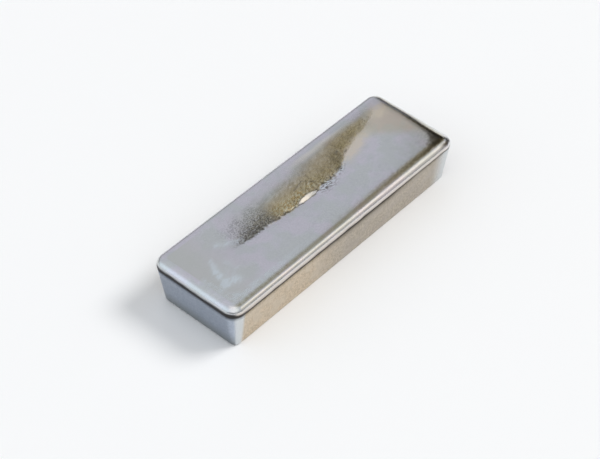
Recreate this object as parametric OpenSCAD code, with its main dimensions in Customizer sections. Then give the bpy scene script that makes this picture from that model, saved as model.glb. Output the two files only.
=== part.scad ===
// Cast metal ingot: a tapered bar with rounded corners, a rounded top edge over a
// thin seam, and a shrinkage valley in its top, poured as one piece in an open mould.
// The origin is at the middle of the base, +X runs along the bar and +Z is up.
// Lengths are in millimetres.

/* [Bar] */
// Length at the seam, where the bar is longest
ingot_length = 139; // [110:1:220]
// Width at the seam, where the bar is widest
ingot_width = 46.2; // [38:0.2:80]
// Height from the base to the top edge
ingot_height = 23.5; // [18:0.5:36]

/* [Mould walls] */
// Lean of the walls, in degrees from upright
draft_angle = 7.7; // [5.5:0.1:12]
// Radius of the upright corners at the base
base_corner_r = 3; // [2.4:0.1:6]
// Radius of the edge round the base
base_edge_r = 1.4; // [0.5:0.1:2.2]

/* [Top edge] */
// Height of the rounded top edge, above the seam
edge_height = 3.9; // [1.6:0.1:4.6]
// Width of the rounded top edge, in from the seam
edge_width = 4.7; // [2:0.1:5]
// Height of the seam line, where the top edge meets the wall
seam_height = 0.9; // [0.3:0.05:1.4]
// Depth of the seam line
seam_depth = 0.4; // [0.1:0.05:0.6]

/* [Shrinkage valley] */
// Depth of the crease below the top edge
valley_depth = 2.2; // [0.8:0.1:4]
// Length of the crease
crease_length = 65; // [30:1:90]
// Width of the floor of the crease
crease_width = 0.8; // [0.4:0.1:3]
// Place of the middle of the crease along the bar
crease_x = -2; // [-10:0.5:10]
// Place of the crease across the bar
crease_y = 1.7; // [-5:0.1:5]
// How much the slopes steepen towards the crease, 1 being straight slopes
slope_power = 1.7; // [1:0.1:2.5]

/* [Hidden] */

// Straight pieces in each rounded stretch of the section
arc_steps = 10;
// Facets in a full turn of the rounded corners
corner_facets = 64;
// Steps down each slope of the valley
valley_steps = 12;
// Colour of the bare metal
metal_colour = [0.70, 0.71, 0.74];

// The walls lean out from the base up to the level of the seam
seam_z = ingot_height - edge_height;
corner_r = wall_x(seam_z);

// The axes of the rounded corners stand on a rectangle of these half sizes
axis_x = ingot_length / 2 - corner_r;
axis_y = ingot_width / 2 - corner_r;

// Distance of the wall from a corner axis, at height z
function wall_x(z) = base_corner_r + z * tan(draft_angle);

// Points along a rounded stretch, about its centre and with its two radii
function arc(centre, radii, from, to) = [
    for (i = [0 : arc_steps])
        let (a = from + (to - from) * i / arc_steps)
            centre + [radii[0] * cos(a), radii[1] * sin(a)]
];

// Half of the bar's section, from a corner axis at 0 out to the wall
function border_section() =
    let (
        base_arc_x = base_corner_r - base_edge_r * (1 - sin(draft_angle)) / cos(draft_angle),
        seam_low = seam_z - seam_height,
        seam_mid = seam_z - seam_height / 2
    )
    concat(
        [[0, 0]],
        arc([base_arc_x, base_edge_r], [base_edge_r, base_edge_r], -90, -draft_angle),
        [[wall_x(seam_low), seam_low], [wall_x(seam_mid) - seam_depth, seam_mid]],
        arc([corner_r - edge_width, seam_z], [edge_width, edge_height], 0, 90),
        [[0, ingot_height]]
    );

// One rounded corner, turned about its own axis
module corner() {
    rotate_extrude(angle = 90, $fn = corner_facets)
        polygon(border_section());
}

// One straight side, drawn out along +X with its wall facing -Y
module side(run) {
    translate([-run / 2, 0, 0])
        rotate([90, 0, 90])
            linear_extrude(run)
                mirror([1, 0])
                    polygon(border_section());
}

// Base edge, walls, seam and top edge, carried right round the bar
module border() {
    for (turn = [0, 180])
        rotate(turn) {
            translate([axis_x, axis_y, 0]) corner();
            translate([-axis_x, axis_y, 0]) rotate(90) corner();
            translate([0, -axis_y, 0]) side(2 * axis_x);
            translate([axis_x, 0, 0]) rotate(90) side(2 * axis_y);
        }
}

// Corners of one level line of the valley: share 0 is its edge, 1 is the crease
function level_line(share) =
    let (
        half_x = axis_x + (crease_length / 2 - axis_x) * share,
        half_y = axis_y + (crease_width / 2 - axis_y) * share,
        z = ingot_height - valley_depth * pow(share, slope_power)
    )
    [
        for (c = [[-1, -1], [1, -1], [1, 1], [-1, 1]])
            [crease_x * share + c[0] * half_x, crease_y * share + c[1] * half_y, z]
    ];

// Middle of the bar: a block whose top sinks in four slopes to the crease
module core() {
    base = [for (p = level_line(0)) [p[0], p[1], 0]];
    points = concat(base, [for (i = [0 : valley_steps]) each level_line(i / valley_steps)]);
    last_ring = valley_steps + 1;
    polyhedron(
        points,
        concat(
            [[0, 1, 2, 3]],
            [
                for (ring = [0 : valley_steps], c = [0 : 3])
                    let (next = (c + 1) % 4)
                        [4 * ring + c, 4 * (ring + 1) + c, 4 * (ring + 1) + next, 4 * ring + next]
            ],
            [[for (c = [3 : -1 : 0]) 4 * last_ring + c]]
        )
    );
}

module ingot() {
    color(metal_colour)
        union() {
            border();
            core();
        }
}

ingot();
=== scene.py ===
"""A cast indium ingot: its poured top, mould-side walls, tarnish, painted shade and reflections, on a pale
studio floor.
"""
import math

import bpy
import numpy as np
from mathutils import Matrix, Vector, noise


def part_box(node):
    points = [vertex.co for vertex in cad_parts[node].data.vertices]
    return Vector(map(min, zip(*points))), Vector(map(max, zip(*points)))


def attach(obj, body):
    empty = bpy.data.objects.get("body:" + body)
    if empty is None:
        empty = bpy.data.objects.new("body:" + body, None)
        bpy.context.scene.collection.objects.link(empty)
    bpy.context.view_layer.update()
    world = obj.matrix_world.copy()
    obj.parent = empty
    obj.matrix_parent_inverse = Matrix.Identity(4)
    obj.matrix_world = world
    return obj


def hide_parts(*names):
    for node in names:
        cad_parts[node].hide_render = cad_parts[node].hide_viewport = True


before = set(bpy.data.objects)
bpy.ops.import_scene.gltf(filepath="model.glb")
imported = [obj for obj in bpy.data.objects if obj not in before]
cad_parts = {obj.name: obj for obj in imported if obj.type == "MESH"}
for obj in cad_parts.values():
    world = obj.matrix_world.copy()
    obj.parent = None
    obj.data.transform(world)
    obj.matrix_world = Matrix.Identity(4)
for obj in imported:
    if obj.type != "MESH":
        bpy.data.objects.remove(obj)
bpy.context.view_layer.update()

MM = 0.001

# The ingot is shaped in millimetres. Its overall sizes come from the frame, the others repeat the part's own
LOW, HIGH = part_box("ingot")
LENGTH, WIDTH, HEIGHT = (HIGH - LOW) / MM
DRAFT = math.radians(7.7)
BASE_CORNER_R = 3.0
BASE_EDGE_R = 1.4
EDGE_HEIGHT = 3.9
EDGE_WIDTH = 4.7
SEAM_HEIGHT = 0.9
SEAM_DEPTH = 0.4
VALLEY_DEPTH = 2.2

SEAM_Z = HEIGHT - EDGE_HEIGHT
CORNER_R = BASE_CORNER_R + SEAM_Z * math.tan(DRAFT)
AXIS_X = LENGTH / 2 - CORNER_R
AXIS_Y = WIDTH / 2 - CORNER_R
INNER_R = CORNER_R - EDGE_WIDTH

# The crease: its near end, its place across the bar, its bow beside the facet with that bow's place and half
# length, and the two steps, each with its rise, start and end, by which its far part turns to one corner
CREASE_NEAR = -34.0
CREASE_Y = 1.5
CREASE_BOW = 1.3
BOW_X = -1.0
BOW_HALF = 10.0
CREASE_STEPS = ((8.0, 17.0, 42.0), (5.0, 44.0, 62.0))
# The valley grows from a faint dip at the near end and runs out at the far end. Its slopes steepen to the
# crease by a power, which falls towards the far end, where they are straighter
DIP_START = -54.0
DIP_FULL = -8.0
DIP_FADE = 25.0
DIP_END = 65.0
NEAR_POWER = 2.2
FAR_POWER = 1.4

# The facet: one smooth lens of metal along the crease. Its middle along the bar, its half length, its width,
# and how much steeper it is than the bank about it
FACET_X = 0.2
FACET_HALF = 6.6
FACET_WIDTH = 2.1
FACET_STEEPER = 0.42

# The rounded edge is a little squarer than an ellipse, whose power is 2. Towards the far corner on the -Y
# side it is worn rounder, and a worn slope leads into it: how steep that is, how far in it starts, and the
# stretch over which it sets in
EDGE_POWER = 2.6
WORN_ROUNDER = 0.4
WORN_SLOPE = 0.10
WORN_REACH = 7.0
WORN_SOFT = 3.0
# The wear is 1 on that side. On the far end it is more at the corner, and this much less further along
CORNER_WEAR = 2.4
CORNER_WEAR_LOST = 1.95
# The lines that run inside the edge turn the corner of the top with about this radius
INSIDE_ROUNDING = 4.0
# Painted dark reflection inside the edge: how far in it starts, how much further on the far end, and where it
# ends
EDGE_SHADE_START = 2.8
EDGE_SHADE_START_END = 1.2
EDGE_SHADE_STOP = 5.3
# A patch of painted shade lies in that corner, inside the edge
CORNER_SHADE_AT = (67.0, -20.0)

# Dark marks on the bank: where each starts and ends, in plan, and its half width
MARKS = (
    ((-1.5, 6.8), (4.8, 8.3), 0.35),
    ((7.2, 6.0), (9.2, 4.6), 0.4),
    ((5.6, 1.2), (6.6, 1.0), 0.45),
    ((-5.8, 0.6), (-5.0, 0.5), 0.45),
    ((-5.5, 3.2), (-7.2, 0.9), 0.4),
    ((-21.2, 2.2), (-18.8, 1.5), 0.5),
    ((-14.2, 1.4), (-13.2, 1.3), 0.4),
    ((21.5, 2.9), (22.9, 2.8), 0.5),
    ((31.4, 7.2), (32.6, 7.4), 0.6),
    ((28.0, 9.2), (29.0, 9.6), 0.6),
)
# A pale smudge curls over the near end: where each stroke starts and ends, its half width and its strength
SMUDGE = (
    ((-60.0, -8.9), (-53.6, -10.8), 1.6, 1.1),
    ((-57.0, -2.0), (-58.8, -8.0), 1.5, 0.75),
    ((-54.0, 3.6), (-57.0, -1.8), 1.1, 0.6),
    ((-47.0, 8.0), (-39.0, 4.2), 1.3, 0.6),
    ((-50.6, -1.0), (-50.0, -5.2), 1.8, 0.25),
)
# Soft patches, each with its strength, its place and its half sizes. The crystals beside the crease and the
# darkest part of the bank follow the crease, so their places across are measured from it
FLECKS = (
    (1.0, 11.0, -1.6, 4.5, 2.6),
    (0.8, 22.0, -0.7, 4.0, 1.3),
    (0.6, -29.0, -0.2, 6.0, 0.9),
    (0.45, -36.5, 1.2, 3.0, 1.4),
)
DARK_CORE = (0.75, -31.0, 1.6, 4.0, 1.6)
OLIVE_PATCHES = (
    (0.5, 47.0, 11.8, 5.0, 2.8),
    (0.7, 15.4, 7.0, 1.8, 1.1),
    (0.7, 24.0, 6.6, 2.4, 1.4),
    (0.6, 40.0, 11.6, 3.5, 1.2),
)
SMUDGE_HAZE = (0.35, -56.5, -7.0, 5.0, 5.5)
FAR_BLUSH = (0.9, 59.5, 12.5, 5.5, 3.6)
# Round the near corner the seam's painted shade reaches higher
NEAR_CORNER_SHADE = (0.3, -66.0, -21.0, 5.0, 4.0)
# At the far corner the edge's lip is left without its painted tint
BRIGHT_CORNER = (1.0, 67.0, -21.0, 4.0, 4.0)

# Stretches along the bar: where each starts and ends, and how softly
TORN_PART = (CREASE_NEAR - 1.0, 24.0, 4.0)
PITTED_PART = (CREASE_NEAR, 28.0, 2.0)
GRAINY_PART = (-40.0, 56.0, 5.0)
CHARCOAL_PART = (-39.0, -18.0, 6.0)
GREEN_PART = (-30.0, -4.0, 6.0)
GOLD_PART = (-18.0, 9.0, 3.0)
TAN_PART = (-6.0, 20.0, 6.0)
SHEEN_PART = (10.0, 44.0, 8.0)
BLUSH_PART = (29.0, 46.0, 6.0)
LIP_PARTS = ((-24.0, -7.0, 3.0), (13.0, 32.0, 2.0))
FACET_LINE_PART = (-5.0, 6.5, 1.5)
FACET_RIDGE_PART = (1.5, 8.0, 1.5)
BROWN_START = -18.0
BROWN_END = 53.0
BROWN_SOFT = 5.0

# Changes along the bar: where each sets in and where it is complete
CREASE_WANDERS = (22.0, 32.0)
CREASE_SOFTENS = (22.0, 38.0)
SLOPES_STRAIGHTEN = (-30.0, 30.0)
FAR_END_STARTS = (54.0, 66.0)
EDGE_WEARS = (-25.0, 62.0)
FROST_SHEEN_STARTS = (-68.0, -62.0)
FROST_SHEEN_ENDS = (-50.0, -5.0)
GRAINS_SPREAD = (-25.0, 5.0)
GRAINS_SHRINK = (-20.0, -12.0)
BANK_SOFTENS = (24.0, 36.0)
BANK_BREAKS = (20.0, 34.0)
BROWN_WIDENS = (-2.0, 30.0)
BROWN_SHARPENS = (10.0, 40.0)
BEIGE_STARTS = (40.0, 50.0)
NEUTRAL_ENDS = (-60.0, -42.0)
SEAM_SHADE_THINS = (22.0, 45.0)
WALL_DARKENS = (-28.0, 2.0)
WALL_SHADE_STARTS = (-25.0, 0.0)
WEDGE_STARTS = (59.0, 64.5)
# The beige of the far end starts at the hip between two slopes, a line on which x and y add up to this
HIP_SUM = 51.3

# Stretches across the bar: of the green and the tan, measured from the crease, and of the sheen
GREEN_UP = (5.0, 12.5, 3.0)
TAN_UP = (6.0, 13.0, 3.0)
SHEEN_Y = (15.4, 17.8, 0.9)
# Changes across the bar: of the gold and the charcoal, measured from the crease, and of the others
GOLD_FADES_UP = (4.0, 7.0)
CHARCOAL_FADES_UP = (2.5, 15.0)
BEIGE_FADES_Y = (11.0, 17.0)
WEDGE_FADES_Y = (-22.0, -19.0)
SIDE_WEAR_FADES_Y = (-18.0, -8.0)
CORNER_WEAR_FADES_Y = (-16.0, 6.0)
END_WEAR_STOPS_Y = (11.0, 19.0)
# Stretches measured in from the outline of the seam
FROST_SHEEN_IN = (2.4, 6.5, 0.8)
WEDGE_IN = (0.5, 1.8, 0.3)
# Round the far corner, the side turns into the end while x and y, measured from its axis, add up to these
CORNER_TURNS = (-5.0, 3.0)

# Heights on the border, measured from the seam: where the wall's colours end, where the painted shade under
# the edge sets in, where the edge's lip with its painted tint fades, and where the painted shade in the seam
# starts, is full and stops
WALL_ENDS = (-0.9, -0.2)
WALL_SHADE_RISES = (-5.0, -0.9)
LIP_FADES = (1.1, 2.8)
SEAM_SHADE_LOW = -1.12
SEAM_SHADE_FULL = -0.58
SEAM_SHADE_TOP = 0.6
# Height above the base over which the end walls' low colour fades
LOW_FADES = (0.0, 9.0)

# Fine relief of the top: depth of the torn groove, of its pits and of the marks, height of the bank's grains,
# with what its near and gold parts add, height of the crystals, and depth of the wrinkles and of the sag
GROOVE_HALF = 0.38
GROOVE_DEPTH = 0.32
PIT_OFF = 0.3
PIT_HALF = 0.6
PIT_DEPTH = 0.2
MARK_DEPTH = 0.02
GRAIN_HEIGHT = 0.055
NEAR_GRAIN_HEIGHT = 0.055
GOLD_GRAIN_HEIGHT = 0.045
CRYSTAL_HEIGHT = 0.08
WRINKLE_DEPTH = 0.03
SAG_DEPTH = 0.025
# Grains, wrinkles and sag fade out towards the rim of the top over these stretches
RIM_FADE_X = 5.0
RIM_FADE_Y = 4.0
# How much weaker and how much finer each further octave of noise is
NOISE_FALL = 0.9
NOISE_STEP = 2.1

# Fine relief of the border: the walls' unevenness, a cold lap that slants across the long wall on the -Y
# side, and the waves and ripples of the rounded edge
UNEVEN_DEPTH = 0.10
LAP_X = 30.0
LAP_LEAN = -0.35
LAP_HALF = 0.8
LAP_DEPTH = 0.06
WAVE_DEPTH = 0.05
RIPPLE_DEPTH = 0.03

# Mesh: cells along and across the top, some of them round each corner, a stretch over the crease with its
# start, its end and how much closer its cells are, and the rings up each part of the border
CELLS_X = 400
CELLS_Y = 130
CORNER_CELLS = 10
CLOSE_X = (-45.0, 58.0, 1.6)
CLOSE_Y = (-4.0, 15.0, 2.0)
BASE_RINGS = 5
WALL_RINGS = 9
SEAM_RINGS = 6
EDGE_RINGS = 16
# Trial points by which the cells of one side are spread
SPREAD_POINTS = 4001

# Masks that the mesh carries for its material: of the top alone, of the top and its edge, and of the border
MASKS = [
    "brown", "gold", "charcoal", "green", "tan", "beige", "blush", "pale", "dark", "grainy", "sheen", "facet",
    "neutral",
    "olive", "corner_shade", "frost_and_sheen",
    "wall", "warm_reflection", "end_shade", "middle", "under", "seam", "lip", "end", "low",
]
# Roughness of the bare metal, from its low to its high, and what some masks add to it
BARE_ROUGHNESS = (0.18, 0.25)
ROUGHER = {"grainy": 0.14, "frost_and_sheen": 0.1, "warm_reflection": 0.12, "end_shade": 0.12, "seam": 0.35, "dark": 0.3}
# Finest unevenness, which only tilts the light: the size of its grains, its strength and its height
BUMP_CELL = 0.35
BUMP_STRENGTH = 0.35
BUMP_HEIGHT = 0.02

# Camera, as fitted to the photograph's perspective
LENS_MM = 101.9
SENSOR_MM = 36.0
CAMERA_ELEVATION = math.radians(45.28)
CAMERA_AZIMUTH = math.radians(-138.0)
CAMERA_ROLL = math.radians(-0.22)
CAMERA_DISTANCE = 5.190 * LENGTH * MM
CAMERA_SHIFT_RIGHT = -0.0263 * LENGTH * MM
CAMERA_SHIFT_UP = 0.0156 * LENGTH * MM

# Light of the room by height: the sine of the elevation, and the colour from there
ROOM_STOPS = [
    (0.00, (0.26, 0.26, 0.26)),
    (0.22, (0.34, 0.34, 0.35)),
    (0.44, (0.52, 0.53, 0.575)),
    (0.72, (0.53, 0.54, 0.58)),
    (0.90, (0.56, 0.58, 0.62)),
    (0.96, (0.80, 0.80, 0.80)),
    (1.00, (1.10, 1.08, 1.03)),
]
# Parts of the room that differ: direction, the angles at which each is full and gone, and its colour
ROOM_SHADES = [
    ((0.52, 0.02, 0.85), 12.0, 22.5, (0.30, 0.275, 0.21)),
    ((0.87, 0.22, 0.42), 18.0, 25.5, (0.02, 0.018, 0.014)),
    ((0.52, -0.76, 0.39), 8.0, 17.0, (0.57, 0.53, 0.485)),
    ((0.87, 0.47, 0.10), 9.0, 16.0, (0.85, 0.81, 0.75)),
    ((-0.45, -0.42, 0.79), 24.0, 40.0, (0.95, 0.96, 0.95)),
    ((-0.77, 0.47, 0.43), 6.0, 48.0, (0.80, 0.88, 0.97)),
]
# Warm softbox that the edge mirrors: its size in metres, power, colour, direction and distance
SOFTBOX_SIZE = (0.6, 0.40)
SOFTBOX_POWER = 0.47
SOFTBOX_COLOUR = (1.0, 0.85, 0.60)
SOFTBOX_FROM = (0.523, -0.56, 0.643)
SOFTBOX_DISTANCE = 1.2
# Wide even light that the metal doesn't mirror: its strength, spread, direction and distance
FLOOR_LIGHT = 1.5
FLOOR_LIGHT_SPREAD = math.radians(25.0)
FLOOR_LIGHT_FROM = (0.62, -0.40, 0.80)
FLOOR_LIGHT_DISTANCE = 2.0
# Floor: half its side in metres, and its colour
FLOOR_HALF = 4.0
FLOOR_COLOUR = (0.94, 0.94, 0.94, 1.0)


def smoothstep(low, high, x):
    """0 up to low, 1 from high on, and a smooth rise between them."""
    t = np.clip((x - low) / (high - low), 0.0, 1.0)
    return t * t * (3.0 - 2.0 * t)


def band(start, end, soft, x):
    """1 between start and end, fading to 0 over soft on both sides."""
    return smoothstep(start - soft, start + soft, x) * (1.0 - smoothstep(end - soft, end + soft, x))


def hump(value, half):
    """1 where the value is 0, fading on both sides over the half width."""
    return np.exp(-(value / half) ** 2)


def patch(x, y, strength, at_x, at_y, half_x, half_y):
    """A soft round patch of the given half sizes, and of the given strength at its middle."""
    return strength * np.exp(-(((x - at_x) / half_x) ** 2 + ((y - at_y) / half_y) ** 2))


def stroke(x, y, start, end, half):
    """A soft line from start to end, 1 along its middle and of the given half width."""
    run_x, run_y = end[0] - start[0], end[1] - start[1]
    share = ((x - start[0]) * run_x + (y - start[1]) * run_y) / (run_x ** 2 + run_y ** 2)
    share = np.clip(share, 0.0, 1.0)
    return np.exp(-((x - start[0] - share * run_x) ** 2 + (y - start[1] - share * run_y) ** 2) / half ** 2)


def soft_min(values, softness):
    """Smallest of several arrays, with the kinks between them rounded."""
    total = sum(np.exp(-v / softness) for v in values)
    return -softness * np.log(total)


def noise_at(points, cell, seed, octaves=1):
    """Smooth noise of about -1 to 1 at an array of points, with features of the size cell."""
    offset = Vector((seed * 17.31, seed * -9.77, seed * 5.13))
    out = np.empty(len(points))
    for i, p in enumerate(points):
        at = Vector((p[0] / cell, p[1] / cell, p[2] / cell)) + offset
        out[i] = noise.fractal(at, NOISE_FALL, NOISE_STEP, octaves) if octaves > 1 else noise.noise(at)
    return out


def turned(points, degrees):
    """Points turned clockwise in plan, so that noise drawn out along the first axis slants the other way."""
    c, s = math.cos(math.radians(degrees)), math.sin(math.radians(degrees))
    return points @ np.array([[c, -s, 0.0], [s, c, 0.0], [0.0, 0.0, 1.0]])


def noise_along(x, cell, seed, octaves=1):
    """Noise that varies along the bar alone."""
    zero = np.zeros_like(x)
    return noise_at(np.c_[x, zero, zero], cell, seed, octaves)


# Plan of the mesh


def spread(cells, half, close):
    """Places along a side from -half to half, packed closer in the stretch that close gives."""
    start, end, times = close
    fine = np.linspace(-half, half, SPREAD_POINTS)
    weight = np.cumsum(1.0 + (times - 1.0) * band(start, end, 3.0, fine))
    weight = (weight - weight[0]) / (weight[-1] - weight[0])
    return np.interp(np.linspace(0.0, 1.0, cells + 1), weight, fine)


def side_points(cells, half, out, radius, close):
    """Points of one side: place along it and distance out, with half of the corner at each end."""
    turn = np.radians(np.linspace(0.0, 45.0, CORNER_CELLS + 1)[1:])
    straight = spread(cells - 2 * CORNER_CELLS, half, close)
    along = np.concatenate([
        -half - radius * np.sin(turn[::-1]), straight, half + radius * np.sin(turn)])
    across = np.concatenate([
        out + radius * np.cos(turn[::-1]), np.full(len(straight), out + radius), out + radius * np.cos(turn)])
    return along, across


def four_sides(radius):
    """The four sides of the bar's outline at one radius: front, right, back and left, from -X or -Y up."""
    along_x, out_y = side_points(CELLS_X, AXIS_X, AXIS_Y, radius, CLOSE_X)
    along_y, out_x = side_points(CELLS_Y, AXIS_Y, AXIS_X, radius, CLOSE_Y)
    return np.c_[along_x, -out_y], np.c_[out_x, along_y], np.c_[along_x, out_y], np.c_[-out_x, along_y]


def outline(radius):
    """Closed outline of the bar as points in order from the -X -Y corner, anticlockwise."""
    front, right, back, left = four_sides(radius)
    return np.vstack([front[:-1], right[:-1], back[:0:-1], left[:0:-1]])


def top_grid():
    """Plan of the top inside the rounded edge, as a grid of points whose rim is the innermost ring."""
    front, right, back, left = four_sides(INNER_R)
    u = ((front[:, 0] - front[0, 0]) / (front[-1, 0] - front[0, 0]))[:, None, None]
    v = ((left[:, 1] - left[0, 1]) / (left[-1, 1] - left[0, 1]))[None, :, None]
    sides = (1 - v) * front[:, None] + v * back[:, None] + (1 - u) * left[None] + u * right[None]
    corners = ((1 - u) * (1 - v) * front[0] + u * (1 - v) * front[-1]
               + (1 - u) * v * back[0] + u * v * back[-1])
    return sides - corners


def wall_r(z):
    """Distance of the wall from a corner axis at height z."""
    return BASE_CORNER_R + z * math.tan(DRAFT)


def section():
    """Section of the border as (distance from a corner axis, height), from the base up to the top."""
    points = []
    base_x = BASE_CORNER_R - BASE_EDGE_R * (1 - math.sin(DRAFT)) / math.cos(DRAFT)
    for a in np.linspace(-math.pi / 2, -DRAFT, BASE_RINGS + 1):
        points.append((base_x + BASE_EDGE_R * math.cos(a), BASE_EDGE_R + BASE_EDGE_R * math.sin(a)))
    seam_low = SEAM_Z - SEAM_HEIGHT
    for z in np.linspace(points[-1][1], seam_low, WALL_RINGS + 1)[1:]:
        points.append((wall_r(z), z))
    for share in np.linspace(0.0, 1.0, SEAM_RINGS + 1)[1:-1]:
        z = seam_low + SEAM_HEIGHT * share
        points.append((wall_r(z) - SEAM_DEPTH * math.sin(math.pi * share), z))
    for a in np.linspace(0.0, math.pi / 2, EDGE_RINGS + 1):
        out = math.cos(a)
        rise = (1 - out ** EDGE_POWER) ** (1 / EDGE_POWER)
        points.append((INNER_R + EDGE_WIDTH * out, SEAM_Z + EDGE_HEIGHT * rise))
    return points


# Shape of the poured top


def crease_line(x):
    """Place of the crease across the bar."""
    wander = (0.3 + 0.9 * smoothstep(*CREASE_WANDERS, x)) * noise_along(x, 6.0, 3)
    bow = CREASE_BOW * hump(x - BOW_X, BOW_HALF)
    bend = sum(rise * smoothstep(start, end, x) for rise, start, end in CREASE_STEPS)
    return CREASE_Y + wander - bow + bend


def valley_depth(x, y, line):
    """Depth of the valley below its rim: slopes that steepen to the crease and run out at both ends."""
    left = (AXIS_Y - y) / (AXIS_Y - line)
    right = (AXIS_Y + y) / (AXIS_Y + line)
    softness = 0.02 + 0.16 * smoothstep(*CREASE_SOFTENS, x)
    share = np.clip(soft_min([left, right], softness), 0.0, 1.0)
    power = NEAR_POWER + (FAR_POWER - NEAR_POWER) * smoothstep(*SLOPES_STRAIGHTEN, x)
    along = smoothstep(DIP_START, DIP_FULL, x) * (1.0 - smoothstep(DIP_FADE, DIP_END, x))
    return VALLEY_DEPTH * along * share ** power


def inward(x, y):
    """Distance of points in from the outline of the seam."""
    past_x, past_y = np.abs(x) - AXIS_X, np.abs(y) - AXIS_Y
    inner = 0.5 * (past_x + past_y + np.sqrt((past_x - past_y) ** 2 + INSIDE_ROUNDING ** 2))
    return CORNER_R - np.minimum(inner, 0.0) - np.hypot(np.maximum(past_x, 0.0), np.maximum(past_y, 0.0))


def on_far_end(x, y):
    """1 on the far end, 0 on the -Y side, and between them round the corner."""
    return smoothstep(*FAR_END_STARTS, x) * smoothstep(*CORNER_TURNS, (x - AXIS_X) + (y + AXIS_Y))


def side_wear(x, y):
    """How worn the edge is along the -Y side: more and more to the far corner."""
    return smoothstep(*EDGE_WEARS, x) * (1.0 - smoothstep(*SIDE_WEAR_FADES_Y, y))


def wear(x, y):
    """How worn the edge is: as much as its side, and most round the far corner on the far end."""
    end = CORNER_WEAR - CORNER_WEAR_LOST * smoothstep(*CORNER_WEAR_FADES_Y, y)
    end = on_far_end(x, y) * end * (1.0 - smoothstep(*END_WEAR_STOPS_Y, y))
    return np.maximum(side_wear(x, y), end)


def edge_drop(x, y):
    """How far the rounded edge, and the worn slope inside it, lie below the level of the top."""
    depth = inward(x, y)
    ramp = np.maximum(WORN_REACH - depth, 0.0)
    ramp = np.where(ramp < WORN_SOFT, ramp ** 2 / (2.0 * WORN_SOFT), ramp - WORN_SOFT / 2.0)
    worn = WORN_SLOPE * wear(x, y) * ramp
    out = np.clip(1.0 - depth / EDGE_WIDTH, 0.0, 1.0)
    power = EDGE_POWER - WORN_ROUNDER * side_wear(x, y) * (1.0 - on_far_end(x, y))
    return worn + (EDGE_HEIGHT - worn) * (1.0 - (1.0 - out ** power) ** (1.0 / power))


def shade_in_corner(x, y, away, depth, start):
    """Painted shade inside the far corner's edge, its line along the far end, and a painted dark wedge on the
    edge.
    """
    reach = np.maximum(4.0, start + 0.4) + 5.8 * hump(away, 8.0)
    corner_shade = smoothstep(start - 0.3, start + 0.4, depth) * (1.0 - smoothstep(reach - 1.5, reach + 1.5, depth))
    wedge = band(*WEDGE_IN, depth) * smoothstep(*WEDGE_STARTS, x) * (1.0 - smoothstep(*WEDGE_FADES_Y, y))
    return np.maximum(corner_shade * hump(away, 20.0), wedge)


def edge_shade_and_sheen(x, y):
    """Painted dark reflection inside the worn edge, painted shade in its corner, a painted sheen along its
    near part.
    """
    ragged = noise_at(np.c_[x, y, np.zeros_like(x)], 2.0, 16, 3)
    depth = inward(x, y) + 0.4 * ragged
    away = np.hypot(x - CORNER_SHADE_AT[0], y - CORNER_SHADE_AT[1])
    start = EDGE_SHADE_START + EDGE_SHADE_START_END * on_far_end(x, y)
    olive = np.minimum(wear(x, y), 1.0) * band(start, EDGE_SHADE_STOP, 0.6, depth)
    olive += 0.9 * smoothstep(start - 0.3, start + 1.2, depth) * hump(away, 11.0)
    near_part = smoothstep(*FROST_SHEEN_STARTS, x) * (1.0 - smoothstep(*FROST_SHEEN_ENDS, x)) * (y < 0)
    return {
        "olive": np.minimum(olive, 1.0),
        "corner_shade": shade_in_corner(x, y, away, depth, start),
        "frost_and_sheen": band(*FROST_SHEEN_IN, depth) * near_part * np.clip(0.65 + 0.9 * ragged, 0.0, 1.0),
    }


def facet_share(x, y, line):
    """The facet: how far each point is down it, its mask, and how far each point is above its upper edge."""
    lens = np.clip(1.0 - ((x - FACET_X) / FACET_HALF) ** 2, 0.0, 1.0)
    width = FACET_WIDTH * lens + 1e-6
    over = y - line - width
    share = -over / width
    inside = smoothstep(0.0, 0.06, share) * (1.0 - smoothstep(1.0, 1.1, share)) * smoothstep(0.0, 0.15, lens)
    return np.clip(share, 0.0, 1.0) * width, inside, over


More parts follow.
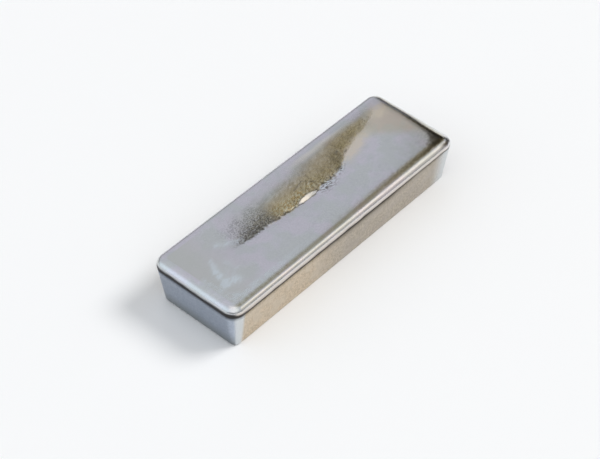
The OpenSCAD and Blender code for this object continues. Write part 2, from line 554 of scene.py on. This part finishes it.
class Top:
    """The poured top inside the rounded edge, at an array of points in plan: its relief, tarnish and painted
    shade.
    """

    def __init__(self, x, y):
        self.x, self.y = x, y
        self.line = crease_line(x)
        self.across = y - self.line
        self.jag = 0.6 * noise_along(x, 1.7, 4, 2)
        self.down_facet, self.facet, self.over_facet = facet_share(x, y, self.line)
        self.no_facet = 1.0 - self.facet
        self.golden = band(*GOLD_PART, x)
        self.find_noise(np.c_[x, y, np.zeros_like(x)])
        self.find_crease()
        self.find_grains()
        self.find_smudge()
        self.find_bank()

    def find_noise(self, place):
        """Noise of several sizes that the relief and the tarnish share."""
        self.slow = noise_at(place, 15.0, 11)
        self.patchy = noise_at(place, 5.0, 12, 2)
        self.broken = noise_at(place, 3.0, 17, 3)
        self.coarse = noise_at(place, 1.6, 6, 3)
        self.fine = noise_at(turned(place, 35.0) * [0.5, 1.0, 1.0], 0.8, 7, 2)
        self.crystal = noise_at(turned(place, -30.0) * [0.6, 1.0, 1.0], 0.8, 8, 2)
        self.wrinkle = noise_at(turned(place, 18.0) * [0.3, 1.0, 1.0], 1.3, 22, 3)

    def find_crease(self):
        """The torn groove of the crease, deep in some places and closed in others, its pits and the marks."""
        torn = smoothstep(-0.25, 0.5, noise_along(self.x, 3.2, 5)) * band(*TORN_PART, self.x)
        pitted = smoothstep(0.22, 0.45, noise_along(self.x, 2.0, 21)) * band(*PITTED_PART, self.x)
        marks = sum(stroke(self.x, self.y, *mark) for mark in MARKS)
        self.groove = hump(self.across - self.jag, GROOVE_HALF) * torn * self.no_facet
        self.pits = hump(self.across - self.jag - PIT_OFF, PIT_HALF) * pitted * self.no_facet
        self.marks = marks * self.no_facet * (0.8 + 0.5 * self.coarse)

    def find_grains(self):
        """Grains of the bank, where the last metal froze, and crystals beside the crease."""
        bank = smoothstep(-0.2, 0.6, self.across - self.jag)
        reach = 3.5 + 4.0 * smoothstep(*GRAINS_SPREAD, self.x)
        fading = np.exp(-np.maximum(self.across, 0.0) / reach)
        self.grainy = bank * fading * band(*GRAINY_PART, self.x) * self.no_facet
        self.flecks = sum(patch(self.x, self.across, *fleck) for fleck in FLECKS)

    def find_smudge(self):
        """The pale smudge that curls over the near end."""
        curl_x = self.x + 1.2 * self.patchy
        curl_y = self.y + 0.6 * self.coarse
        self.smudge = sum(strength * stroke(curl_x, curl_y, *line) for *line, strength in SMUDGE)
        self.smudge += patch(self.x, self.y, *SMUDGE_HAZE)

    def find_bank(self):
        """The bank above the crease with its tarnish and painted reflection: its ragged lower edge and its
        brown part.
        """
        soft = 0.35 + 1.6 * smoothstep(*BANK_SOFTENS, self.x)
        self.bank_edge = self.jag + 1.9 * smoothstep(*BANK_BREAKS, self.x) * self.broken
        self.bank = smoothstep(-soft, soft, self.across - self.bank_edge)
        upper = 12.0 + 4.5 * smoothstep(*BROWN_WIDENS, self.x)
        fade = 5.0 - 2.5 * smoothstep(*BROWN_SHARPENS, self.x)
        under_upper = 1.0 - smoothstep(upper - fade, upper + 0.5, self.y + 0.7 * self.patchy)
        far_end = BROWN_END + 4.0 * self.patchy
        self.brown = self.bank * under_upper * band(BROWN_START, far_end, BROWN_SOFT, self.x)

    def heights(self):
        """Height of the top: valley, facet and edge, then the fine relief."""
        x, y = self.x, self.y
        z = HEIGHT - valley_depth(x, y, self.line) - edge_drop(x, y)
        z -= FACET_STEEPER * self.down_facet * (1.0 - smoothstep(0.0, 0.3, -self.across))
        z -= GROOVE_DEPTH * self.groove + PIT_DEPTH * self.pits + MARK_DEPTH * self.marks
        z += CRYSTAL_HEIGHT * self.flecks * self.crystal

        inside = smoothstep(0.0, RIM_FADE_X, AXIS_X - np.abs(x))
        inside *= smoothstep(0.0, RIM_FADE_Y, AXIS_Y - np.abs(y))
        near_part = 1.0 - smoothstep(*GRAINS_SHRINK, x)
        grain = GRAIN_HEIGHT + NEAR_GRAIN_HEIGHT * near_part + GOLD_GRAIN_HEIGHT * self.golden
        z += inside * self.grainy * grain * (self.coarse + 0.6 * self.fine)
        z -= inside * (WRINKLE_DEPTH * self.smudge * (1.0 + self.wrinkle) + SAG_DEPTH * (1.0 + self.slow))
        return np.minimum(z, HEIGHT)

    def bank_masks(self):
        """How strongly the bank's tarnish and painted reflection, the slope's painted shade and the painted
        sheen show.
        """
        x, up = self.x, self.across + self.patchy
        dark_up = self.across + 2.5 * self.patchy
        return {
            "brown": self.brown * self.no_facet,
            "gold": self.bank * (1.0 - smoothstep(*GOLD_FADES_UP, up)) * self.golden * self.no_facet,
            "charcoal": self.bank * (1.0 - smoothstep(*CHARCOAL_FADES_UP, dark_up)) * band(*CHARCOAL_PART, x),
            # Green and tan are painted shade of the slope, and the sheen a painted highlight
            "green": band(*GREEN_PART, x) * band(*GREEN_UP, up),
            "tan": band(*TAN_PART, x) * band(*TAN_UP, up),
            "sheen": band(*SHEEN_PART, x) * band(*SHEEN_Y, self.y + 0.5 * self.patchy),
            "grainy": self.grainy,
        }

    def slope_masks(self):
        """How strongly beige, blush, smudge, neutral and the painted highlights of the lip, crystals and
        facet show.
        """
        x, y = self.x, self.y
        past_hip = (x + y - HIP_SUM) / math.sqrt(2.0)
        beige = smoothstep(-3.0, 4.0, past_hip) * smoothstep(*BEIGE_STARTS, x)
        beige *= (1.0 - 0.7 * self.brown) * (1.0 - smoothstep(*BEIGE_FADES_Y, y))
        # The crease's lip line is a painted highlight
        lip = hump(self.across - self.bank_edge + 0.55, 0.45) * smoothstep(-0.4, 0.3, self.fine)
        lip *= sum(band(*part, x) for part in LIP_PARTS)
        ridge = hump(self.over_facet - 1.0, 0.4) * band(*FACET_RIDGE_PART, x)
        blush = band(*BLUSH_PART, x) * hump(self.across + 1.8, 3.0) + patch(x, y, *FAR_BLUSH)
        pale = self.smudge * (0.6 + 0.7 * smoothstep(-0.4, 0.4, self.wrinkle))
        return {
            "beige": beige,
            "blush": np.clip(blush * (1.3 + 0.8 * self.broken) + ridge + lip, 0.0, 1.0),
            # On the crystals, pale where they rise is a painted highlight
            "pale": np.clip(pale + 1.5 * self.flecks * smoothstep(0.0, 0.25, self.crystal), 0.0, 1.0),
            "facet": self.facet,
            "neutral": 1.0 - smoothstep(*NEUTRAL_ENDS, x),
        }

    def dark_mask(self):
        """Where the dark lines, pits and marks are, and the painted shade above the facet and between the
        crystals.
        """
        core = patch(self.x, self.across, *DARK_CORE) * smoothstep(-0.3, 0.4, self.coarse)
        # Painted shade along the facet's upper edge and between the crystals
        facet_line = hump(self.over_facet - 0.15, 0.3) * band(*FACET_LINE_PART, self.x)
        between = 1.2 * self.flecks * smoothstep(0.0, 0.25, -self.crystal)
        lines = 0.7 * self.groove + self.pits + 0.8 * self.marks + core + 0.7 * facet_line
        return np.clip(lines + between, 0.0, 1.0)

    def masks(self):
        """How strongly each tarnish, tint and painted shade, highlight or reflection shows."""
        found = self.bank_masks() | self.slope_masks() | edge_shade_and_sheen(self.x, self.y)
        more_olive = sum(patch(self.x, self.y, *one) for one in OLIVE_PATCHES) * (1.0 + self.patchy)
        found["olive"] = np.clip(found["olive"] + more_olive, 0.0, 1.0)
        found["dark"] = self.dark_mask()
        return found


# Walls and edge


def border_relief(plan, z):
    """Small unevenness of the walls and of the rounded edge, always inwards."""
    place = np.c_[plan, np.full(len(plan), z)]
    wall = 1.0 - smoothstep(SEAM_Z - 2.0, SEAM_Z, z)
    uneven = 0.5 + 0.5 * noise_at(place, 9.0, 13, 2)
    edge_wave = 0.5 + 0.5 * noise_at(place * [1, 1, 0], 6.0, 14)
    ripple = 0.5 + 0.5 * noise_at(place, 1.8, 18, 2)
    lap_x = LAP_X + (z - SEAM_Z) * LAP_LEAN
    lap = hump(plan[:, 0] - lap_x, LAP_HALF) * (plan[:, 1] < 0)
    on_wall = UNEVEN_DEPTH * uneven + LAP_DEPTH * lap
    on_edge = WAVE_DEPTH * edge_wave + RIPPLE_DEPTH * ripple
    above_base = smoothstep(0.0, 2.0, z)
    return -above_base * (wall * on_wall + (1 - wall) * on_edge)


def shade_in_seam(x, y, up, on_end, paler_part):
    """Painted shade in the seam: wider on the ends, thinner and paler on the far part of the long side."""
    low = SEAM_SHADE_LOW - 0.23 * on_end + 0.17 * paler_part
    top = SEAM_SHADE_TOP + 0.3 * noise_at(np.c_[x, y, np.zeros_like(x)], 5.0, 15)
    top += patch(x, y, *NEAR_CORNER_SHADE) + 0.6 * on_end
    shade_line = smoothstep(low, SEAM_SHADE_FULL, up) * (1.0 - smoothstep(-0.3, 0.3, up - top))
    return shade_line * (1.0 - 0.3 * paler_part)


def wall_masks(plan, r, z):
    """Where the walls carry painted warm reflection or painted shade, and where painted shade lies in the
    seam.
    """
    x, y = plan[:, 0], plan[:, 1]
    up = z - SEAM_Z
    out_x = np.clip((np.abs(x) - AXIS_X) / r, 0.0, 1.0)
    on_end = smoothstep(0.4, 0.8, out_x)
    paler_part = smoothstep(*SEAM_SHADE_THINS, x) * (1.0 - on_end)
    below = 1.0 - smoothstep(*WALL_ENDS, up)
    long_wall = below * smoothstep(-0.4, 1.6, x + AXIS_X) * smoothstep(-1.0, 9.0, AXIS_X - x)
    shaded = smoothstep(*WALL_SHADE_RISES, up) * below * smoothstep(*WALL_SHADE_STARTS, x)
    # Painted dark reflection and shade inside the edge, and a painted sheen along its near part
    tarnish = edge_shade_and_sheen(x, y) if up > 0.0 else {}
    return tarnish | {
        # Painted warm reflection on the long walls
        "warm_reflection": long_wall * (np.abs(y) > AXIS_Y),
        "wall": np.full(len(plan), below),
        # Painted shade on the end walls
        "end_shade": below * smoothstep(0.55, 0.80, out_x),
        "middle": smoothstep(*WALL_DARKENS, x),
        # Painted shade in the seam
        "seam": shade_in_seam(x, y, up, on_end, paler_part),
        # The edge's lower part carries painted reflection and shade, left off at the far corner
        "lip": (1.0 - smoothstep(*LIP_FADES, up)) * (1.0 - patch(x, y, *BRIGHT_CORNER)),
        "end": on_end,
        "under": shaded * (1.0 - 0.6 * paler_part),
        "low": np.full(len(plan), 1.0 - smoothstep(*LOW_FADES, z)),
    }


def border_places(rings):
    """Places and masks of the border's rings, pushed in by the relief and down where the edge is worn."""
    for r, z in rings:
        plan = outline(r)
        outward = plan - np.clip(plan, [-AXIS_X, -AXIS_Y], [AXIS_X, AXIS_Y])
        worn = plan + outward / r * border_relief(plan, z)[:, None]
        level = HEIGHT - edge_drop(plan[:, 0], plan[:, 1]) if z > SEAM_Z else np.full(len(plan), z)
        yield np.c_[worn, level], wall_masks(plan, r, z)


def ingot_faces(count, levels_below):
    """Faces of the base, the border and the top, by the order in which their points are kept."""
    nx, ny = CELLS_X, CELLS_Y
    first_top = count * levels_below

    def grid(i, j):
        return first_top + i * (ny + 1) + j

    rim = ([grid(i, 0) for i in range(nx)] + [grid(nx, j) for j in range(ny)]
           + [grid(i, ny) for i in range(nx, 0, -1)] + [grid(0, j) for j in range(ny, 0, -1)])
    levels = [[k * count + i for i in range(count)] for k in range(levels_below)] + [rim]
    faces = [list(reversed(levels[0]))]
    for low, up in zip(levels, levels[1:]):
        for i in range(count):
            j = (i + 1) % count
            faces.append((low[i], low[j], up[j], up[i]))
    for i in range(nx):
        for j in range(ny):
            faces.append((grid(i, j), grid(i + 1, j), grid(i + 1, j + 1), grid(i, j + 1)))
    return faces


def build_ingot():
    """The whole ingot as one mesh: rings up the border, then a grid over the top."""
    rings = section()[:-1]
    places, masks = [], {name: [] for name in MASKS}

    def keep(place, found):
        places.append(place)
        for name in MASKS:
            masks[name].append(found.get(name, np.zeros(len(place))))

    for place, found in border_places(rings):
        keep(place, found)
    plan = top_grid().reshape(-1, 2)
    top = Top(plan[:, 0], plan[:, 1])
    keep(np.c_[plan, top.heights()], top.masks())
    faces = ingot_faces(len(places[0]), len(rings))

    mesh = bpy.data.meshes.new("ingot_cast")
    mesh.from_pydata((np.vstack(places) * MM).tolist(), [], faces)
    mesh.polygons.foreach_set("use_smooth", [False] + [True] * (len(faces) - 1))
    for name in MASKS:
        layer = mesh.attributes.new(name, "FLOAT", "POINT")
        layer.data.foreach_set("value", np.concatenate(masks[name]).astype(np.float32))
    piece = bpy.data.objects.new("ingot_cast", mesh)
    bpy.context.scene.collection.objects.link(piece)
    return piece


# Materials


class Shader:
    """Short names for the nodes that the metal is made of."""

    def __init__(self, name):
        self.mat = bpy.data.materials.new(name)
        self.mat.use_nodes = True
        self.nodes = self.mat.node_tree.nodes
        self.links = self.mat.node_tree.links
        self.bsdf = self.nodes["Principled BSDF"]
        self.place = self.nodes.new("ShaderNodeTexCoord").outputs["Object"]

    def put(self, value, socket):
        """Feed a socket with a number, a colour or another node's output."""
        if isinstance(value, bpy.types.NodeSocket):
            self.links.new(value, socket)
        else:
            socket.default_value = value

    def mask(self, name):
        """One of the masks that the mesh carries."""
        node = self.nodes.new("ShaderNodeAttribute")
        node.attribute_name = name
        return node.outputs["Fac"]

    def math(self, operation, a, b=0.0):
        """A sum or product of two values, kept between 0 and 1."""
        node = self.nodes.new("ShaderNodeMath")
        node.operation = operation
        node.use_clamp = True
        self.put(a, node.inputs[0])
        self.put(b, node.inputs[1])
        return node.outputs["Value"]

    def noise(self, cell, detail=2.0, stretch=(1.0, 1.0, 1.0), turn=0.0):
        """Noise of 0 to 1 with features of the size cell in millimetres, drawn out and turned in plan."""
        mapping = self.nodes.new("ShaderNodeMapping")
        mapping.vector_type = "TEXTURE"
        mapping.inputs["Rotation"].default_value = (0.0, 0.0, math.radians(turn))
        mapping.inputs["Scale"].default_value = [cell * MM * k for k in stretch]
        self.links.new(self.place, mapping.inputs["Vector"])
        node = self.nodes.new("ShaderNodeTexNoise")
        node.inputs["Scale"].default_value = 1.0
        node.inputs["Detail"].default_value = detail
        self.links.new(mapping.outputs["Vector"], node.inputs["Vector"])
        return node.outputs["Fac"]

    def remap(self, value, low, high, to_low=0.0, to_high=1.0):
        """A value carried smoothly from one range to another."""
        node = self.nodes.new("ShaderNodeMapRange")
        node.interpolation_type = "SMOOTHSTEP"
        self.put(value, node.inputs["Value"])
        for name, number in zip(("From Min", "From Max", "To Min", "To Max"), (low, high, to_low, to_high)):
            node.inputs[name].default_value = number
        return node.outputs["Result"]

    def mix(self, share, a, b):
        """Two colours mixed, the second one by its share."""
        node = self.nodes.new("ShaderNodeMix")
        node.data_type = "RGBA"
        self.put(share, node.inputs["Factor"])
        self.put(a, node.inputs[6])
        self.put(b, node.inputs[7])
        return node.outputs[2]

    def tint(self, colour, mask, strength, other):
        """Colour turned to another one where a mask of the mesh is set."""
        return self.mix(self.math("MULTIPLY", self.mask(mask), strength), colour, other)

    def varied(self, value, low, high, a, b):
        """One colour where the value is low and another where it is high."""
        return self.mix(self.remap(value, low, high), a, b)


def rgb(red, green, blue):
    return (red, green, blue, 1.0)


def bare_metal(sh, cloud, hue, speck, mottle):
    """Bright metal with a breath of lilac and green, darker specks and mottle."""
    colour = sh.varied(cloud, 0.35, 0.65, rgb(0.78, 0.79, 0.815), rgb(0.83, 0.84, 0.87))
    colour = sh.mix(sh.remap(hue, 0.48, 0.62, 0.0, 0.7), colour, rgb(0.86, 0.82, 0.89))
    colour = sh.mix(sh.remap(hue, 0.52, 0.38, 0.0, 0.7), colour, rgb(0.765, 0.80, 0.775))
    colour = sh.mix(sh.remap(speck, 0.35, 0.65, 0.12, 0.0), colour, rgb(0.45, 0.46, 0.48))
    colour = sh.mix(sh.remap(mottle, 0.52, 0.72, 0.0, 0.35), colour, rgb(0.70, 0.71, 0.735))
    return sh.tint(colour, "neutral", 0.8, rgb(0.74, 0.755, 0.71))


def slope_shade_and_sheen(sh, colour, hue, mottle):
    """Painted shade of the slopes, greenish and tan above the bank, a painted sheen, and beige at the far
    end.
    """
    green = sh.varied(mottle, 0.4, 0.6, rgb(0.58, 0.60, 0.565), rgb(0.73, 0.75, 0.72))
    tan = sh.varied(mottle, 0.4, 0.6, rgb(0.60, 0.545, 0.44), rgb(0.70, 0.65, 0.56))
    beige = sh.varied(hue, 0.4, 0.6, rgb(0.755, 0.715, 0.60), rgb(0.80, 0.71, 0.585))
    # Painted shade of the slope, green and tan, and a painted sheen
    colour = sh.tint(colour, "green", 0.85, green)
    colour = sh.tint(colour, "tan", 0.7, tan)
    colour = sh.tint(colour, "sheen", 0.8, rgb(0.96, 0.93, 0.86))
    return sh.tint(colour, "beige", 0.9, beige)


def bank_tarnish_and_reflection(sh, colour, speck, mottle, grain):
    """Tarnish and painted reflection of the bank: brown, gold in the middle, and charcoal that closes along
    the crease.
    """
    streak = sh.noise(0.5, 3.0, (2.5, 1.0, 1.0), turn=15.0)
    blotch = sh.noise(4.5, 3.0)
    close = sh.remap(sh.mask("grainy"), 0.25, 0.8)
    olive = sh.varied(streak, 0.42, 0.58, rgb(0.53, 0.46, 0.26), rgb(0.91, 0.80, 0.52))
    tan = sh.varied(streak, 0.42, 0.58, rgb(0.70, 0.59, 0.39), rgb(1.0, 0.94, 0.72))
    smooth = sh.varied(mottle, 0.4, 0.6, rgb(0.79, 0.71, 0.545), rgb(0.94, 0.86, 0.69))
    brown = sh.mix(close, smooth, sh.varied(blotch, 0.38, 0.60, olive, tan))
    gold = sh.varied(streak, 0.43, 0.57, rgb(0.79, 0.63, 0.37), rgb(1.0, 0.98, 0.80))
    dotted = sh.varied(speck, 0.37, 0.59, rgb(0.22, 0.22, 0.22), rgb(0.81, 0.82, 0.825))
    closed = sh.varied(speck, 0.40, 0.64, rgb(0.14, 0.138, 0.134), rgb(0.59, 0.59, 0.58))
    specks = sh.math("MULTIPLY", close, sh.remap(grain, 0.58, 0.68, 0.0, 0.7))
    # Brown, gold and charcoal: tarnish and painted reflection
    colour = sh.tint(colour, "brown", 0.9, brown)
    colour = sh.tint(colour, "gold", 0.85, gold)
    colour = sh.mix(specks, colour, rgb(0.27, 0.225, 0.14))
    return sh.tint(colour, "charcoal", 0.9, sh.mix(sh.mask("grainy"), dotted, closed))


def edge_and_marks(sh, colour, mottle, grain):
    """Blush, smudge, the edge's painted sheen and shade, the facet's painted highlight, the crease's dark
    lines.
    """
    olive = sh.varied(grain, 0.4, 0.6, rgb(0.43, 0.375, 0.25), rgb(0.67, 0.60, 0.44))
    corner_shade = sh.varied(mottle, 0.4, 0.6, rgb(0.045, 0.036, 0.022), rgb(0.10, 0.082, 0.055))
    colour = sh.tint(colour, "blush", 0.75, rgb(0.97, 0.86, 0.68))
    colour = sh.tint(colour, "pale", 0.9, rgb(0.89, 0.97, 1.0))
    # A paler painted sheen, with rougher metal, along the edge's near part
    colour = sh.tint(colour, "frost_and_sheen", 0.85, rgb(0.88, 0.95, 0.98))
    # Painted dark reflection inside the worn edge, with olive patches on the bank
    colour = sh.tint(colour, "olive", 0.75, olive)
    # Painted shade in the far corner
    colour = sh.tint(colour, "corner_shade", 0.95, corner_shade)
    # Cream paint on the facet, a painted highlight over the glint that its tilt gives
    colour = sh.tint(colour, "facet", 0.8, rgb(0.93, 0.90, 0.83))
    return sh.tint(colour, "dark", 0.85, rgb(0.13, 0.115, 0.09))


def top_colour(sh, cloud):
    """Bright metal of the top with its tarnish and painted shade, laid on from the thin to the thick and the
    dark.
    """
    hue = sh.noise(9.0, 2.0)
    speck = sh.noise(0.55)
    mottle = sh.noise(3.0, 4.0)
    grain = sh.noise(0.9, 2.0, (1.6, 1.0, 1.0), turn=15.0)
    colour = bare_metal(sh, cloud, hue, speck, mottle)
    colour = slope_shade_and_sheen(sh, colour, hue, mottle)
    colour = bank_tarnish_and_reflection(sh, colour, speck, mottle, grain)
    return edge_and_marks(sh, colour, mottle, grain)


def wall_colour(sh, colour):
    """Long walls with painted warm reflection, end walls and the seam with painted shade."""
    mottle = sh.noise(0.9, 3.0)
    hue = sh.noise(6.0, 3.0)
    # Painted warm reflection of the long walls, paler at the near end, darker further on
    near = sh.varied(mottle, 0.35, 0.65, rgb(0.50, 0.41, 0.295), rgb(0.69, 0.585, 0.455))
    near = sh.mix(sh.remap(hue, 0.42, 0.62, 0.0, 0.6), near, rgb(0.63, 0.56, 0.46))
    far = sh.varied(mottle, 0.35, 0.65, rgb(0.375, 0.33, 0.265), rgb(0.535, 0.48, 0.405))
    far = sh.mix(sh.remap(hue, 0.42, 0.62, 0.0, 0.5), far, rgb(0.46, 0.415, 0.375))
    # Painted shade under the edge darkens the long walls' upper part
    warm_reflection = sh.tint(sh.mix(sh.mask("middle"), near, far), "under", 0.6, rgb(0.20, 0.17, 0.13))
    # Painted blue-grey shade of the end walls, darker towards the base
    end_shade = sh.varied(mottle, 0.35, 0.65, rgb(0.36, 0.405, 0.485), rgb(0.43, 0.475, 0.55))
    end_shade = sh.tint(end_shade, "low", 0.8, rgb(0.235, 0.25, 0.245))
    # The edge's lower part, tinted as painted reflection on the sides and painted shade on the ends
    lip = sh.mix(sh.mask("end"), rgb(0.70, 0.635, 0.58), rgb(0.30, 0.32, 0.34))
    colour = sh.tint(colour, "lip", 0.95, lip)
    colour = sh.tint(colour, "wall", 1.0, rgb(0.64, 0.67, 0.69))
    colour = sh.mix(sh.mask("warm_reflection"), colour, warm_reflection)
    colour = sh.mix(sh.mask("end_shade"), colour, end_shade)
    # Painted shade in the seam
    return sh.tint(colour, "seam", 0.95, rgb(0.035, 0.03, 0.028))


def indium():
    """Bright cast metal with brown tarnish, darker grains, painted reflection on the walls and painted shade
    in the seam.
    """
    sh = Shader("indium")
    cloud = sh.noise(14.0, 3.0)
    colour = wall_colour(sh, top_colour(sh, cloud))

    rough = sh.remap(cloud, 0.3, 0.7, *BARE_ROUGHNESS)
    for mask, more in ROUGHER.items():
        rough = sh.math("ADD", rough, sh.math("MULTIPLY", sh.mask(mask), more))

    bump = sh.nodes.new("ShaderNodeBump")
    bump.inputs["Strength"].default_value = BUMP_STRENGTH
    bump.inputs["Distance"].default_value = BUMP_HEIGHT * MM
    sh.links.new(sh.noise(BUMP_CELL, 3.0), bump.inputs["Height"])

    sh.put(colour, sh.bsdf.inputs["Base Color"])
    sh.put(rough, sh.bsdf.inputs["Roughness"])
    sh.put(bump.outputs["Normal"], sh.bsdf.inputs["Normal"])
    sh.bsdf.inputs["Metallic"].default_value = 1.0
    return sh.mat


def floor_material():
    """Matt and nearly white."""
    mat = bpy.data.materials.new("studio_floor")
    mat.use_nodes = True
    bsdf = mat.node_tree.nodes["Principled BSDF"]
    bsdf.inputs["Base Color"].default_value = FLOOR_COLOUR
    bsdf.inputs["Roughness"].default_value = 0.9
    bsdf.inputs["Specular IOR Level"].default_value = 0.0
    return mat


# Stage


def add_floor():
    """One large square, which isn't part of the object."""
    mesh = bpy.data.meshes.new("floor")
    corners = [(-1, -1), (1, -1), (1, 1), (-1, 1)]
    mesh.from_pydata([(FLOOR_HALF * x, FLOOR_HALF * y, 0) for x, y in corners], [], [(0, 1, 2, 3)])
    floor = bpy.data.objects.new("floor", mesh)
    bpy.context.scene.collection.objects.link(floor)
    mesh.materials.append(floor_material())


def room_shade(nodes, links, place, shade, colour):
    """The room's colour with one part of another colour mixed in about a direction."""
    direction, full, gone, other = shade
    toward = nodes.new("ShaderNodeVectorMath")
    toward.operation = "DOT_PRODUCT"
    toward.inputs[1].default_value = Vector(direction).normalized()
    links.new(place, toward.inputs[0])
    share = nodes.new("ShaderNodeMapRange")
    share.interpolation_type = "SMOOTHSTEP"
    share.inputs["From Min"].default_value = math.cos(math.radians(gone))
    share.inputs["From Max"].default_value = math.cos(math.radians(full))
    links.new(toward.outputs["Value"], share.inputs["Value"])
    mix = nodes.new("ShaderNodeMix")
    mix.data_type = "RGBA"
    links.new(share.outputs["Result"], mix.inputs["Factor"])
    links.new(colour, mix.inputs[6])
    mix.inputs[7].default_value = (*other, 1.0)
    return mix.outputs[2]


def add_world():
    """A soft grey room, paler overhead, with a few darker and paler parts for the metal to mirror."""
    world = bpy.data.worlds.new("studio")
    bpy.context.scene.world = world
    world.use_nodes = True
    nodes, links = world.node_tree.nodes, world.node_tree.links
    place = nodes.new("ShaderNodeTexCoord").outputs["Generated"]
    split = nodes.new("ShaderNodeSeparateXYZ")
    ramp = nodes.new("ShaderNodeValToRGB")
    links.new(place, split.inputs["Vector"])
    links.new(split.outputs["Z"], ramp.inputs["Fac"])
    elements = ramp.color_ramp.elements
    while len(elements) < len(ROOM_STOPS):
        elements.new(0.5)
    for element, (at, colour) in zip(elements, ROOM_STOPS):
        element.position = at
        element.color = (*colour, 1.0)
    colour = ramp.outputs["Color"]
    for shade in ROOM_SHADES:
        colour = room_shade(nodes, links, place, shade, colour)
    links.new(colour, nodes["Background"].inputs["Color"])


def add_lamp(data, direction, distance):
    """A lamp that stands in the given direction and faces the ingot."""
    lamp = bpy.data.objects.new(data.name, data)
    toward = Vector(direction).normalized()
    lamp.location = toward * distance
    lamp.rotation_euler = toward.to_track_quat("Z", "Y").to_euler()
    bpy.context.scene.collection.objects.link(lamp)
    return lamp


def add_lights():
    """A warm softbox that the edge mirrors, and a wide even light that gives the floor its soft shadow."""
    softbox = bpy.data.lights.new("right_softbox", "AREA")
    softbox.shape = "RECTANGLE"
    softbox.size, softbox.size_y = SOFTBOX_SIZE
    softbox.energy = SOFTBOX_POWER
    softbox.color = SOFTBOX_COLOUR
    add_lamp(softbox, SOFTBOX_FROM, SOFTBOX_DISTANCE)

    even = bpy.data.lights.new("floor_light", "SUN")
    even.angle = FLOOR_LIGHT_SPREAD
    even.energy = FLOOR_LIGHT
    add_lamp(even, FLOOR_LIGHT_FROM, FLOOR_LIGHT_DISTANCE).visible_glossy = False


def add_camera():
    """The camera that was fitted to the photograph, set about the middle of the ingot's base."""
    ce, se = math.cos(CAMERA_ELEVATION), math.sin(CAMERA_ELEVATION)
    back = Vector((math.cos(CAMERA_AZIMUTH) * ce, math.sin(CAMERA_AZIMUTH) * ce, se))
    level = Vector((-math.sin(CAMERA_AZIMUTH), math.cos(CAMERA_AZIMUTH), 0.0))
    upright = back.cross(level)
    c, s = math.cos(CAMERA_ROLL), math.sin(CAMERA_ROLL)
    right = c * level + s * upright
    up = c * upright - s * level
    data = bpy.data.cameras.new("camera")
    data.lens = LENS_MM
    data.sensor_width = SENSOR_MM
    camera = bpy.data.objects.new("camera", data)
    turn = Matrix((right, up, back)).transposed().to_4x4()
    place = back * CAMERA_DISTANCE + right * CAMERA_SHIFT_RIGHT + up * CAMERA_SHIFT_UP
    camera.matrix_world = Matrix.Translation(place) @ turn
    bpy.context.scene.collection.objects.link(camera)
    bpy.context.scene.camera = camera


bpy.context.scene.view_settings.view_transform = "Standard"
add_camera()
add_floor()
add_world()
add_lights()

ingot = build_ingot()
ingot.data.materials.append(indium())
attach(ingot, "root")
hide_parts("ingot")
